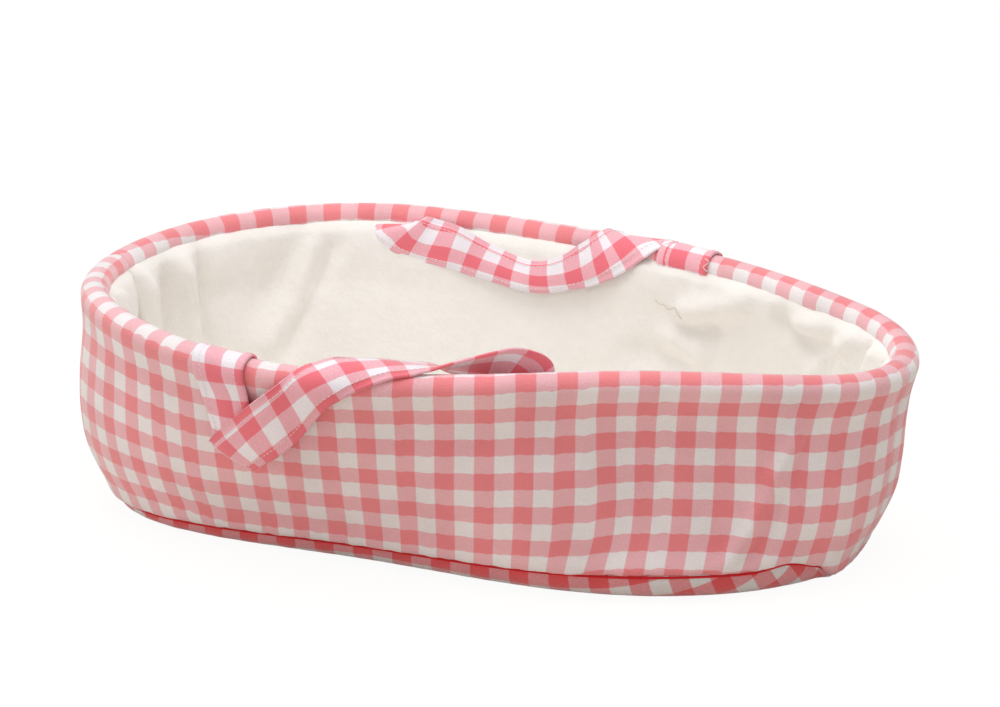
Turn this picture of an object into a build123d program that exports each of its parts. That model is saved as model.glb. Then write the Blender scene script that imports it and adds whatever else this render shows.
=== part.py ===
from build123d import *
import os
from math import atan2, cos, degrees, radians, sin, sqrt, tan

# A soft doll-size Moses basket. Millimetres, +Z up, +X towards the narrow foot end, -Y the near side.
# The origin is on the surface it stands on, below the middle of the mouth's length.

# ---- driving sizes -------------------------------------------------------------------------------
# Each outline is an egg of tangent arcs: a head arc, a foot arc and two long side arcs.
mouth_length = 422.0          # middle of the rim roll, head to foot
mouth_head_radius = 132.0
mouth_foot_radius = 65.0
mouth_side_radius = 500.0
base_length = 386.0           # base seam, head to foot
base_head_radius = 88.0
base_foot_radius = 80.0
base_side_radius = 640.0
base_shift = -2.0             # middle of the base along X

base_height = 12.0            # the seam of wall and base
belly_height = 58.0           # where the soft wall stands out most
belly_fullness = 3.0
rim_height = 112.0            # middle of the rim roll

cloth = 1.0                   # gingham with its interlining
fleece = 1.5
gap = 0.3                     # clearance between curved soft layers
wadding_at_base = 7.7
wadding_at_belly = 8.0
wadding_at_rim = 9.9
hem_drop = 7.0                # inner hem below the middle of the rim roll

roll_radius = 6.5
roll_filling = 0.84           # padding's share of the roll's inside radius; the leaning wall takes the rest
wire_radius = 1.5
sleeve_radius = 2.6
sleeve_length = 18.0
crimp_depth = 0.45
crimp_width = 2.0
wire_end_gap = 1.0
wire_clearance = 0.05

base_edge_radius = 9.0
base_wadding_thick = 6.0
board_thick = 2.5
base_margin = 2.5             # board, wadding and floor edges inside the base cover

# ---- carry handles: distances are measured along the rim from the foot seam --------------------
strap_width = 30.0
strap_thick = 1.6
strap_clearance = 0.4
near_head_anchor = 377.0
near_foot_anchor = 214.0
far_head_anchor = 357.0
far_foot_anchor = 187.0
axis_lift = 3.0               # hinge line above the top of the rim roll
tie_off = 2.0                 # start of the free strap, out from the hinge line
lap = 0.2                     # how far two fused layers of a strap run into each other
near_drop = 52.0              # near handle: middle of its fold below the hinge line
near_crease_along = 23.0      # near handle: the fold's crease, along the hinge line and down
near_crease_fall = 15.0
near_rise = 31.0              # near handle: slope of its slanting run, degrees
near_shoulder = 3.0           # near handle: how soon it turns down over the rim
near_stand_off = 1.5          # near handle: clear of the rim where it crosses
far_drop = 44.0               # far handle: depth of the swag below the hinge line
far_hem_drop = 21.0           # far handle: depth of its upper edge
far_low_share = 0.45          # far handle: lowest point as a share of the span, from the head end
far_stand_off = 10.6          # far handle: inside the hinge line at its top
far_lean = 22.0               # far handle: lean of the swag with the wall, degrees


class Egg:
    """Outline of four tangent arcs, symmetric about X, the larger arc at the head (-X)."""

    def __init__(self, length, head_radius, foot_radius, side_radius, shift=0.0):
        self.head_radius = head_radius
        self.foot_radius = foot_radius
        self.side_radius = side_radius
        self.head_x = shift - length / 2 + head_radius
        self.foot_x = shift + length / 2 - foot_radius
        head_reach = side_radius - head_radius
        foot_reach = side_radius - foot_radius
        span = self.foot_x - self.head_x
        along = (head_reach ** 2 - foot_reach ** 2 + span ** 2) / (2 * span)
        self.side_x = self.head_x + along
        self.side_y = -sqrt(head_reach ** 2 - along ** 2)     # centre of the far side arc
        self.foot_angle = degrees(atan2(-self.side_y, self.foot_x - self.side_x))
        self.head_angle = degrees(atan2(-self.side_y, self.head_x - self.side_x))

    def far_arcs(self):
        """Centre, radius, first angle and turn of each arc from the foot tip to the head tip."""
        return [
            (self.foot_x, 0.0, self.foot_radius, 0.0, self.foot_angle),
            (self.side_x, self.side_y, self.side_radius, self.foot_angle, self.head_angle - self.foot_angle),
            (self.head_x, 0.0, self.head_radius, self.head_angle, 180.0 - self.head_angle),
        ]

    def half_length(self):
        return sum(radius * radians(turn) for _, _, radius, _, turn in self.far_arcs())

    def half_width(self):
        return self.side_radius + self.side_y

    def far_point(self, distance):
        """Point and outward direction at a distance along the far side from the foot tip."""
        for x, y, radius, first, turn in self.far_arcs():
            length = radius * radians(turn)
            if distance <= length:
                angle = radians(first) + distance / radius
                return (x + radius * cos(angle), y + radius * sin(angle)), (cos(angle), sin(angle))
            distance -= length
        raise ValueError("that distance is past the head tip")

    def face(self, offset, height):
        """The outline, grown by the offset, as a level face."""
        far_angle = self.head_angle - self.foot_angle
        arcs = [
            CenterArc((self.foot_x, 0), self.foot_radius + offset, -self.foot_angle, 2 * self.foot_angle),
            CenterArc((self.side_x, self.side_y), self.side_radius + offset, self.foot_angle, far_angle),
            CenterArc((self.head_x, 0), self.head_radius + offset, self.head_angle, 360 - 2 * self.head_angle),
            CenterArc((self.side_x, -self.side_y), self.side_radius + offset, -self.head_angle, far_angle),
        ]
        return Pos(0, 0, height) * make_face([Edge(arc.wrapped) for arc in arcs])


mouth = Egg(mouth_length, mouth_head_radius, mouth_foot_radius, mouth_side_radius)
base = Egg(base_length, base_head_radius, base_foot_radius, base_side_radius, base_shift)
belly_share = (belly_height - base_height) / (rim_height - base_height)


def between(low, high):
    return low + (high - low) * belly_share


belly = Egg(
    between(base_length, mouth_length),
    between(base_head_radius, mouth_head_radius),
    between(base_foot_radius, mouth_foot_radius),
    between(base_side_radius, mouth_side_radius),
    between(base_shift, 0.0),
)


# ---- shared operations ---------------------------------------------------------------------------
def half_space(side):
    """A block over the far (+1) or the near (-1) half."""
    size = 2 * mouth_length
    return Pos(0, side * size / 2, 0) * Box(size, size, size)


def below(height):
    """A block under a height."""
    size = 2 * mouth_length
    return Pos(0, 0, height - size / 2) * Box(size, size, size)


def wall_body(at_base, at_belly, at_rim):
    """Solid inside a ruled wall surface, from the base seam to the middle of the rim roll."""
    low = loft([base.face(at_base, base_height), belly.face(at_belly, belly_height)], ruled=True)
    high = loft([belly.face(at_belly, belly_height), mouth.face(at_rim, rim_height)], ruled=True)
    return low + high


def rim_band(section, start, end):
    """The section, drawn as offset and height, carried along the far rim between two distances."""
    pieces = []
    passed = 0.0
    for x, y, radius, first, turn in mouth.far_arcs():
        length = radius * radians(turn)
        low, high = max(start, passed), min(end, passed + length)
        if high > low:
            upright = Plane.XZ * Pos(radius, 0) * section
            piece = revolve(upright, Axis.Z, degrees((high - low) / radius))
            pieces.append(Pos(x, y, 0) * Rot(0, 0, first + degrees((low - passed) / radius)) * piece)
        passed += length
    return joined(pieces)


def roll_shell(outer, inner, drop):
    """Section of cloth over the rim roll, with a leg down its inner side."""
    over = Circle(outer) - Circle(inner) - Pos(0, -outer) * Rectangle(2 * outer, 2 * outer)
    leg = Pos(-(outer + inner) / 2, -drop / 2) * Rectangle(outer - inner, drop)
    return Pos(0, rim_height) * (over + leg)


def joined(pieces):
    result = pieces[0]
    for piece in pieces[1:]:
        result += piece
    return result


def save(solid, node):
    export_step(solid, f"parts/{node}.step")
    box = solid.bounding_box()
    print(f"{node:26s} {len(solid.solids())} solid(s) {solid.volume / 1000:8.2f} cm3  "
          f"x {box.min.X:7.1f} {box.max.X:7.1f}  y {box.min.Y:7.1f} {box.max.Y:7.1f}  "
          f"z {box.min.Z:6.1f} {box.max.Z:6.1f}")


# ---- walls ---------------------------------------------------------------------------------------
hem_height = rim_height - hem_drop
behind_cloth = cloth + gap
behind_wadding = (
    -behind_cloth - wadding_at_base,
    belly_fullness - behind_cloth - wadding_at_belly,
    roll_radius - behind_cloth - wadding_at_rim,
)


def outer_wall_far():
    """Gingham panel: the outside of the wall, the rim roll and the hem inside the mouth."""
    outside = wall_body(0.0, belly_fullness, roll_radius)
    inside = wall_body(-cloth, belly_fullness - cloth, roll_radius - cloth)
    roll = rim_band(roll_shell(roll_radius, roll_radius - cloth, hem_drop), 0.0, mouth.half_length())
    return ((outside - inside) & half_space(1)) + roll


def wall_wadding_far():
    outside = wall_body(-behind_cloth, belly_fullness - behind_cloth, roll_radius - behind_cloth)
    inside = wall_body(*behind_wadding)
    return (outside - inside) & half_space(1) & below(hem_height)


def lining_wall_far():
    """Fleece panel, from the floor up to the hem."""
    outside = wall_body(*(offset - gap for offset in behind_wadding))
    inside = wall_body(*(offset - gap - fleece for offset in behind_wadding))
    return (outside - inside) & half_space(1) & below(hem_height)


# ---- base ----------------------------------------------------------------------------------------
board_floor = cloth + base_wadding_thick
floor_height = board_floor + board_thick


def dish(offset, floor, edge_radius):
    """Solid of the base outline with a rounded lower edge, taller than the base."""
    block = extrude(base.face(offset, floor), 2 * base_height)
    lower = block.edges().group_by(Axis.Z)[0]
    return fillet(lower, edge_radius)


def base_cover():
    """Gingham pan under the basket, up to the seam."""
    outside = dish(0.0, 0.0, base_edge_radius) & below(base_height)
    return outside - dish(-cloth, cloth, base_edge_radius - cloth)


def base_wadding():
    return dish(-base_margin, cloth, base_edge_radius - cloth - gap) & below(board_floor)


def base_board():
    return extrude(base.face(-base_margin, board_floor), board_thick)


def lining_floor():
    """Fleece floor over a thin pad, between the board and the walls' lower edges."""
    return extrude(base.face(-base_margin, floor_height), base_height - floor_height)


# ---- rim hoop ------------------------------------------------------------------------------------
sleeve_at = mouth.half_length() / 2


def rim_wire():
    """Spring-wire hoop whose two ends meet inside the sleeve."""
    section = Pos(0, rim_height) * Circle(wire_radius)
    near = mirror(rim_band(section, 0.0, mouth.half_length()), Plane.XZ)
    foot_part = rim_band(section, 0.0, sleeve_at - wire_end_gap / 2)
    head_part = rim_band(section, sleeve_at + wire_end_gap / 2, mouth.half_length())
    return foot_part + near + head_part


def rim_wire_sleeve():
    """Tube over the wire's ends, necked in by one crimp over each end."""
    bore = Circle(wire_radius + wire_clearance)
    tube = Circle(sleeve_radius) - bore
    neck = Circle(sleeve_radius - crimp_depth) - bore
    plain = (sleeve_length - 2 * crimp_width) / 3
    start = sleeve_at - sleeve_length / 2
    rings = []
    for section, length in ((tube, plain), (neck, crimp_width), (tube, plain), (neck, crimp_width), (tube, plain)):
        rings.append(rim_band(Pos(0, rim_height) * section, start, start + length))
        start += length
    return joined(rings)


def rim_roll_padding():
    """Soft tube that fills the rim roll round the wire."""
    soft = Circle(roll_filling * (roll_radius - cloth)) - Circle(wire_radius + gap)
    far = rim_band(Pos(0, rim_height) * soft, 0.0, mouth.half_length())
    pocket = rim_band(
        Pos(0, rim_height) * Circle(sleeve_radius + gap),
        sleeve_at - sleeve_length / 2 - gap,
        sleeve_at + sleeve_length / 2 + gap,
    )
    return far - pocket + mirror(far, Plane.XZ)


# ---- handles -------------------------------------------------------------------------------------
# A handle is drawn in its own plane: X along the hinge line to the foot, Y up, Z towards the near side.
hinge_height = rim_height + roll_radius + axis_lift


class Hinge:
    """A handle's hinge line, above the top of the rim roll from one sewn end to the other."""

    def __init__(self, side, head_anchor, foot_anchor):
        self.side = side
        self.head_anchor = head_anchor
        self.foot_anchor = foot_anchor
        self.head = self.over_rim(head_anchor)
        self.foot = self.over_rim(foot_anchor)
        self.span = (self.foot - self.head).length
        along = (self.foot - self.head).normalized()
        self.plane = Plane(origin=self.head, x_dir=along, z_dir=Vector(along.Y, -along.X, 0))

    def over_rim(self, distance):
        (x, y), _ = mouth.far_point(distance)
        return Vector(x, self.side * y, hinge_height)

    def bulge(self):
        """How far the rim stands out from the hinge line between the two ends."""
        middle = self.plane.to_local_coords(self.over_rim((self.head_anchor + self.foot_anchor) / 2))
        return abs(middle.Z)


def sewn_end(side, anchor, over):
    """End of a strap, caught in the seam inside the mouth and lying on the rim roll."""
    inner = roll_radius + gap
    outer = inner + strap_thick
    section = roll_shell(outer, inner, hem_drop)
    if over:
        leg = Rectangle(strap_thick, hem_drop)
        section += Pos((outer + inner) / 2, rim_height - hem_drop / 2) * leg
    else:
        section -= Pos(outer, rim_height + outer) * Rectangle(2 * outer, 4 * outer)
    piece = rim_band(section, anchor - strap_width / 2, anchor + strap_width / 2)
    return piece if side > 0 else mirror(piece, Plane.XZ)


def strip_over_edge(path, width):
    """Strap seen edge on, its outer face drawn as (out, up) points, centred on the hinge's head end."""
    outline = offset(Polyline(*path), strap_thick, side=Side.RIGHT, kind=Kind.INTERSECTION)
    upright = Plane(origin=(width / 2, 0, 0), x_dir=(0, 0, 1), z_dir=(-1, 0, 0))
    return extrude(upright * make_face(outline), width)


def top_run(outline):
    """Strap lying level on the hinge line, its outline drawn as (along, out) points."""
    level = Plane(origin=(0, -strap_thick / 2, 0), x_dir=(1, 0, 0), z_dir=(0, 1, 0))
    face = make_face(Polyline(*((along, -out) for along, out in outline), close=True))
    return extrude(level * face, strap_thick)


near_hinge = Hinge(-1, near_head_anchor, near_foot_anchor)
far_hinge = Hinge(1, far_head_anchor, far_foot_anchor)


def near_handle_strap():
    """Down outside the wall, over in a slanting fold, then up across the rim to its sewn foot end."""
    top = strap_thick / 2
    half = strap_width / 2
    out = near_hinge.bulge() + roll_radius + near_stand_off + strap_thick
    slope = tan(radians(near_rise))
    corner = (-near_crease_along / 2, -near_drop + near_crease_fall / 2)
    tip = (near_crease_along / 2, -near_drop - near_crease_fall / 2)
    upper_reach = corner[0] + (top - corner[1]) / slope
    lower_reach = tip[0] + (top - tip[1]) / slope
    drop = strip_over_edge(
        [(tie_off, top), (out - near_shoulder, top), (out, -roll_radius - axis_lift), (out, -near_drop)],
        strap_width,
    )
    slant = make_face(Polyline(corner, tip, (lower_reach, top), (upper_reach, top), close=True))
    run = top_run([
        (upper_reach, tie_off),
        (upper_reach, out + strap_thick),
        (lower_reach, out + strap_thick),
        (near_hinge.span, tie_off + half / 2),
        (near_hinge.span, tie_off),
    ])
    strap = drop + extrude(Pos(0, 0, out - lap) * slant, strap_thick) + run
    return near_hinge.plane.location * strap


def far_handle_strap():
    """A swag inside the mouth, between the two sewn ends."""
    top = strap_thick / 2
    half = strap_width / 2
    span = far_hinge.span
    right = span - half - strap_clearance
    low = span * far_low_share
    lower = ThreePointArc((-half, -half), (low, -far_drop), (right, 0))
    upper = ThreePointArc((right - strap_width, 0), (low, -far_hem_drop), (half, -half / 2))
    left = Polyline((half, -half / 2), (half, 0), (-half, 0), (-half, -half))
    swag = make_face([lower, Line((right, 0), (right - strap_width, 0)), upper, left])
    hung = Pos(0, 0, far_stand_off) * Rot(-far_lean, 0, 0) * extrude(swag, strap_thick)
    reach = far_stand_off + strap_thick
    strap = hung
    for start, end in ((-half, half), (right - strap_width, right)):
        strap += top_run([(start, tie_off), (start, reach), (end, reach), (end, tie_off)])
    return far_hinge.plane.location * strap


# ---- write the parts -----------------------------------------------------------------------------
def near_of(far):
    return mirror(far, Plane.XZ)


def main():
    os.makedirs("parts", exist_ok=True)
    wall, wadding, lining = outer_wall_far(), wall_wadding_far(), lining_wall_far()
    save(wall, "outer_wall_far")
    save(near_of(wall), "outer_wall_near")
    save(wadding, "wall_wadding_far")
    save(near_of(wadding), "wall_wadding_near")
    save(lining, "lining_wall_far")
    save(near_of(lining), "lining_wall_near")
    save(base_cover(), "base_cover")
    save(base_wadding(), "base_wadding")
    save(base_board(), "base_board")
    save(lining_floor(), "lining_floor")
    save(rim_wire(), "rim_wire")
    save(rim_wire_sleeve(), "rim_wire_sleeve")
    save(rim_roll_padding(), "rim_roll_padding")
    save(near_handle_strap(), "near_handle_strap")
    save(sewn_end(-1, near_head_anchor, False), "near_handle_head_end")
    save(sewn_end(-1, near_foot_anchor, False), "near_handle_foot_end")
    save(far_handle_strap(), "far_handle_strap")
    save(sewn_end(1, far_head_anchor, False), "far_handle_head_end")
    save(sewn_end(1, far_foot_anchor, True), "far_handle_foot_end")
    for name, hinge in (("near", near_hinge), ("far", far_hinge)):
        axis = (hinge.head - hinge.foot).normalized()
        print(f"{name} hinge at {hinge.head.X:.3f} {hinge.head.Y:.3f} {hinge.head.Z:.3f} "
              f"axis {axis.X:.6f} {axis.Y:.6f} 0 span {hinge.span:.2f} bulge {hinge.bulge():.2f}")


main()
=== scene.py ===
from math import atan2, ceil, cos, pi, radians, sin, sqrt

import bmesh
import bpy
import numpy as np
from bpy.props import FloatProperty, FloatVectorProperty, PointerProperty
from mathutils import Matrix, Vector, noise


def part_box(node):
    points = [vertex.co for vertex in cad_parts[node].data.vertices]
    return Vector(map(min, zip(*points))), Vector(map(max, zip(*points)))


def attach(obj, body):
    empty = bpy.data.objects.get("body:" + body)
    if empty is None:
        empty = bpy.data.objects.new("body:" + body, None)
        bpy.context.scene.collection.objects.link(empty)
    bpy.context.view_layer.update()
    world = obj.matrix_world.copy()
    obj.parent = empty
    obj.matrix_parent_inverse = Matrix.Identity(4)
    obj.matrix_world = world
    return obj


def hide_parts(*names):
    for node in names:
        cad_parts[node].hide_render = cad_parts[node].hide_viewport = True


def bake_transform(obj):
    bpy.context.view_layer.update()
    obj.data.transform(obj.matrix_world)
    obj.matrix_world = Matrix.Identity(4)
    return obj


bl_info = {
    "name": "Soft Doll Carrycot",
    "version": (1, 0, 0),
    "blender": (4, 5, 0),
    "location": "View3D > Sidebar > Carrycot",
    "description": "Sews a soft gingham carrycot with a fleece lining round its packed frame",
    "category": "Add Mesh",
}

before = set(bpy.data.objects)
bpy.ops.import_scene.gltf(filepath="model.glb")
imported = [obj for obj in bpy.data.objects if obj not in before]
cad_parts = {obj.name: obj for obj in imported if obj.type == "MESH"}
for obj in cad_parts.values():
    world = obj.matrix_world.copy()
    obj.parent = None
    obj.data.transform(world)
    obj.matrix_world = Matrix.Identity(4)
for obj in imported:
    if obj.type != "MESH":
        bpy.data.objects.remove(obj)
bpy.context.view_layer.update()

# Lengths in the working code are millimetres; a finished mesh is put into metres.
MM = 0.001
UP = np.array([0.0, 0.0, 1.0])

# ---- sizes ----
wall_low, wall_high = [np.array(corner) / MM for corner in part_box("outer_wall_near")]
cover_low, cover_high = [np.array(corner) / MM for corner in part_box("base_cover")]

ROLL = 6.5                        # radius of the rim roll
RIM_HEIGHT = wall_high[2] - ROLL
MOUTH = (wall_high[0] - wall_low[0] - 2 * ROLL, 132.0, 65.0, 500.0)     # length; radii at head, foot and side
HEM = 2.5                         # gingham inside the mouth, below the middle of the roll
STRAP_WIDTH = 30.0

# How far the soft rim stands out from its egg and above its level, at even steps from the head tip
# along the near side to the foot tip and back along the far side.
RIM_EASE = (
    (15, -1), (3, 7), (-10, 1), (-7, -3), (-9, -1), (-13, 1), (2, -4),
    (-2, -11), (-7, -2), (-2, 1), (-5, 3), (-7, 5), (2, 4), (15, 1),
)

BASE_CENTRE = ((cover_low[0] + cover_high[0]) / 2 - 8, -2.0)
BASE_HALF_LENGTH, BASE_HALF_WIDTH = 197.0, 95.0
BASE_SQUARENESS = 3.3             # 2 is an ellipse, more is squarer

# How far the base seam stands out from its squared oval, its height, and how far inside it the base
# reaches the ground, at the same even steps.
BASE_EASE = (
    (0, 6, 12), (-1, 8, 16), (-4, 12, 20), (-4, 13, 20), (8, 14, 18), (6, 15, 12), (-9, 15, 12),
    (4, 2, 6), (2, 8, 12), (0, 13, 16), (0, 13, 18), (0, 13, 18), (0, 12, 18), (0, 8, 14),
)

# How the wall hangs at the same steps: its lean in from upright just under the roll and just above
# the seam, in degrees, and how far each end of the curve reaches towards the other.
WALL_HANG = (
    (-3, 56, 0.28, 0.33), (-1, 46, 0.30, 0.35), (14, 30, 0.33, 0.35), (22, 26, 0.33, 0.33),
    (22, 26, 0.33, 0.33), (18, 24, 0.33, 0.33), (15, 28, 0.33, 0.35), (16, 52, 0.34, 0.33),
    (14, 40, 0.33, 0.35), (16, 26, 0.33, 0.33), (20, 24, 0.33, 0.33), (20, 26, 0.33, 0.33),
    (14, 32, 0.33, 0.35), (-1, 46, 0.30, 0.36),
)


# ---- curves ----
def smooth(low, high, value):
    """0 below low, 1 above high, and an even S between."""
    share = np.clip((value - low) / (high - low), 0.0, 1.0)
    return share * share * (3 - 2 * share)


def hump(value, middle, width):
    """1 in the middle, falling away on both sides."""
    return np.exp(-((value - middle) / width) ** 2)


def spline_share(distance):
    """Weight of a cubic B-spline's point at a distance in steps."""
    near = (4 - 6 * distance ** 2 + 3 * distance ** 3) / 6
    far = (2 - distance) ** 3 / 6
    return np.where(distance < 1, near, np.where(distance < 2, far, 0.0))


def eased(table, share):
    """Smooth value of a table of even steps round a closed line, at shares of its length."""
    count = len(table)
    steps = np.abs((np.asarray(share)[:, None] * count - np.arange(count) + count / 2) % count - count / 2)
    return spline_share(steps) @ np.array(table, float)


def through(stations, per_step):
    """A smooth run through stations, with a number of steps between each two."""
    rows = np.array(stations, float)
    rows = np.vstack([2 * rows[0] - rows[1], rows, 2 * rows[-1] - rows[-2]])
    run = []
    for before, here, after, beyond in zip(rows, rows[1:], rows[2:], rows[3:]):
        for step in range(per_step):
            t = step / per_step
            run.append(0.5 * (2 * here + (after - before) * t
                              + (2 * before - 5 * here + 4 * after - beyond) * t ** 2
                              + (3 * here - before - 3 * after + beyond) * t ** 3))
    run.append(rows[-2])
    return np.array(run)


def waves(values, size, seed):
    """Smooth random waves between about -1 and 1 along a line, one to a row."""
    return np.array([[noise.noise(Vector((value / size, seed * 7.3, seed * 1.7)))] for value in values])


def ripple(first, second, size, seed):
    """Smooth random waves over a surface."""
    return np.array([noise.noise(Vector((a / size, b / size, seed * 5.1)))
                     for a, b in zip(first.ravel(), second.ravel())]).reshape(first.shape)


def run_lengths(points):
    """Distance of each point from the first of its row."""
    steps = np.linalg.norm(np.diff(points, axis=-2), axis=-1)
    return np.concatenate([np.zeros_like(steps[..., :1]), np.cumsum(steps, -1)], -1)


class Line:
    """A closed line in space, read by the distance along it."""

    def __init__(self, points):
        self.points = np.vstack([points, points[:1]])
        self.marks = run_lengths(self.points)
        self.length = self.marks[-1]

    def at(self, distance):
        distance = np.mod(distance, self.length)
        return np.stack([np.interp(distance, self.marks, self.points[:, axis]) for axis in range(3)], -1)

    def outward(self, distance):
        """Level outward direction."""
        along = self.at(distance + 2.0) - self.at(distance - 2.0)
        out = np.stack([along[..., 1], -along[..., 0], np.zeros(along.shape[:-1])], -1)
        return out / np.linalg.norm(out, axis=-1, keepdims=True)


def egg_points(length, head, foot, side, count):
    """Points and outward directions of an egg of tangent arcs, from the head tip along the near side."""
    head_x, foot_x = head - length / 2, length / 2 - foot
    span = foot_x - head_x
    along = ((side - head) ** 2 - (side - foot) ** 2 + span ** 2) / (2 * span)
    side_x, side_y = head_x + along, -sqrt((side - head) ** 2 - along ** 2)
    foot_turn = atan2(-side_y, foot_x - side_x)
    head_turn = atan2(-side_y, head_x - side_x)
    arcs = (
        (foot_x, 0.0, foot, 0.0, foot_turn),
        (side_x, side_y, side, foot_turn, head_turn),
        (head_x, 0.0, head, head_turn, pi),
    )
    half = sum(radius * (last - first) for _, _, radius, first, last in arcs)
    points, outs = [], []
    for step in range(count):
        signed = half * (2 * step / count - 1)
        distance = abs(signed)
        for x, y, radius, first, last in arcs:
            if distance <= radius * (last - first) or last == pi:
                angle = first + distance / radius
                break
            distance -= radius * (last - first)
        sense = 1 if signed > 0 else -1
        points.append((x + radius * cos(angle), sense * (y + radius * sin(angle)), 0.0))
        outs.append((cos(angle), sense * sin(angle), 0.0))
    return np.array(points), np.array(outs)


def rim_line(count=1100):
    """Middle of the rim roll, as the soft basket holds it."""
    points, outs = egg_points(*MOUTH, count)
    ease = eased(RIM_EASE, np.arange(count) / count)
    points = points + outs * ease[:, :1]
    points[:, 2] = RIM_HEIGHT + ease[:, 1]
    return Line(points)


def base_line(count=1100):
    """Seam of wall and base, from the head tip along the near side. By the foot it puckers up into a
    tuck and then dives to the ground, where the wall hangs over it."""
    angle = pi + 2 * pi * np.arange(count) / count
    x, y = np.cos(angle), np.sin(angle)
    size = (np.abs(x) ** BASE_SQUARENESS + np.abs(y) ** BASE_SQUARENESS) ** (1 / BASE_SQUARENESS)
    points = np.stack([
        BASE_CENTRE[0] + BASE_HALF_LENGTH * x / size,
        BASE_CENTRE[1] + BASE_HALF_WIDTH * y / size,
        np.zeros(count),
    ], -1)
    flat = Line(points)
    share = flat.marks[:-1] / flat.length
    ease = eased(BASE_EASE, share)
    points = points + flat.outward(flat.marks[:-1]) * ease[:, :1]
    tuck = 4.0 * hump(share, 0.43, 0.0135)
    drape = 7.5 * smooth(0.450, 0.463, share) * (1 - smooth(0.483, 0.522, share))
    lowest = 1.6
    points[:, 2] = np.maximum(ease[:, 1] + tuck - drape, lowest)
    return Line(points)


rim, seam = rim_line(), base_line()

# The sizes that the cloths are cut to: the drop of a wall and of its lining, which both run from seam to
# seam along the rim, then length, width and area of the two egg-shaped ones.
WALL_DROP, LINING_DROP = 146.0, 106.0
COVER_FLAT, COVER_AREA = (408.0, 212.0), 78000.0
FLOOR_FLAT, FLOOR_AREA = (372.0, 176.0), 60000.0

# The two panels of each layer: where their seams lie along the rim, from the head tip.
NEAR_FIRST, NEAR_LAST = -12.0, 529.0
PANELS = (("near", NEAR_FIRST, NEAR_LAST), ("far", NEAR_LAST, rim.length + NEAR_FIRST))


def fall_table(count=120):
    """Where the base seam lies straight in from the egg, less an even share of its length."""
    points, outs = egg_points(*MOUTH, count)
    falls = []
    for step in range(count):
        reach = seam.points - points[step]
        across = reach[:, 0] * outs[step, 1] - reach[:, 1] * outs[step, 0]
        crossing = np.nonzero(across[:-1] * across[1:] <= 0)[0]
        nearest = crossing[np.argmax(reach[crossing] @ outs[step])]
        part = across[nearest] / (across[nearest] - across[nearest + 1] + 1e-9)
        mark = seam.marks[nearest] + part * (seam.marks[nearest + 1] - seam.marks[nearest])
        falls.append((mark - seam.length * step / count + seam.length / 2) % seam.length - seam.length / 2)
    return np.array(falls + falls[:1])


FALLS = fall_table()


def seam_distance(around):
    """Distance along the base seam that hangs below a distance along the rim."""
    share = around / rim.length
    return share * seam.length + np.interp(share % 1.0, np.arange(len(FALLS)) / (len(FALLS) - 1), FALLS)


def rim_point(around, out, up):
    """A place given by its distance along the rim, outward from the roll's middle, and up."""
    return rim.at(around) + rim.outward(around) * np.asarray(out)[..., None] + UP * np.asarray(up)[..., None]


def read_table(table, around):
    """The columns of a table after its first, read at distances."""
    table = np.array(table)
    return [np.interp(around, table[:, 0], column)[:, None] for column in table.T[1:]]


# ---- meshes ----
def add_piece(name, points, edges=(), faces=()):
    """A new object from points in millimetres."""
    mesh = bpy.data.meshes.new(name)
    mesh.from_pydata((points * MM).tolist(), list(edges), list(faces))
    piece = bpy.data.objects.new(name, mesh)
    bpy.context.scene.collection.objects.link(piece)
    return piece


def grid(name, points, uv=None, closed=False):
    """A mesh from runs of points. The runs lie along the first axis; uv, in millimetres, holds each
    point's value or, with one more axis of two, its value before and after it along the second axis."""
    runs, columns = points.shape[:2]
    index = np.arange(runs * columns).reshape(runs, columns)
    here = index if closed else index[:-1]
    after = np.roll(index, -1, 0) if closed else index[1:]
    quads = np.stack([here[:, :-1], after[:, :-1], after[:, 1:], here[:, 1:]], -1)
    piece = add_piece(name, points.reshape(-1, 3), faces=quads.reshape(-1, 4).tolist())
    if uv is not None:
        before, later = (uv[:, :, 0], uv[:, :, 1]) if uv.ndim == 4 else (uv, uv)
        rows = np.arange(runs)[: quads.shape[0]]
        follow = (rows + 1) % runs
        corners = np.stack([later[rows][:, :-1], later[follow][:, :-1],
                            before[follow][:, 1:], before[rows][:, 1:]], 2)
        layer = piece.data.uv_layers.new(name="cloth")
        layer.data.foreach_set("uv", (corners * MM).astype(np.float32).ravel())
    piece.data.shade_smooth()
    if closed:
        weld(piece)
    return piece


def rings(line, around, size, sides):
    """Rings of points round a line, at distances along it."""
    angles = np.linspace(0, 2 * pi, sides + 1)
    spoke = (np.cos(angles)[None, :, None] * line.outward(around)[:, None]
             + np.sin(angles)[None, :, None] * UP)
    return (line.at(around)[:, None] + np.asarray(size)[..., None, None] * spoke)[:, ::-1]


def tube(name, line, radius, step, sides):
    """A closed tube round a closed line."""
    return grid(name, rings(line, np.arange(0, line.length, step), radius, sides), closed=True)


def thread(name, points, radius, sides=8):
    """A closed thread through the points, round at both ends."""
    line = through(points, 6)
    ahead = np.gradient(line, axis=0)
    ahead /= np.linalg.norm(ahead, axis=1)[:, None]
    side = np.cross(ahead, UP)
    side /= np.linalg.norm(side, axis=1)[:, None]
    over = np.cross(side, ahead)
    angles = np.linspace(0, 2 * pi, sides, endpoint=False)
    ring = np.cos(angles)[:, None, None] * side + np.sin(angles)[:, None, None] * over
    thick = np.full(len(line), radius)
    thick[[0, -1]] = 0.0
    return grid(name, line[None] + ring * thick[None, :, None], closed=True)


def weld(piece):
    """Joins points that lie on each other."""
    form = bmesh.new()
    form.from_mesh(piece.data)
    bmesh.ops.remove_doubles(form, verts=form.verts, dist=0.00001)
    form.to_mesh(piece.data)
    form.free()


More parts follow.
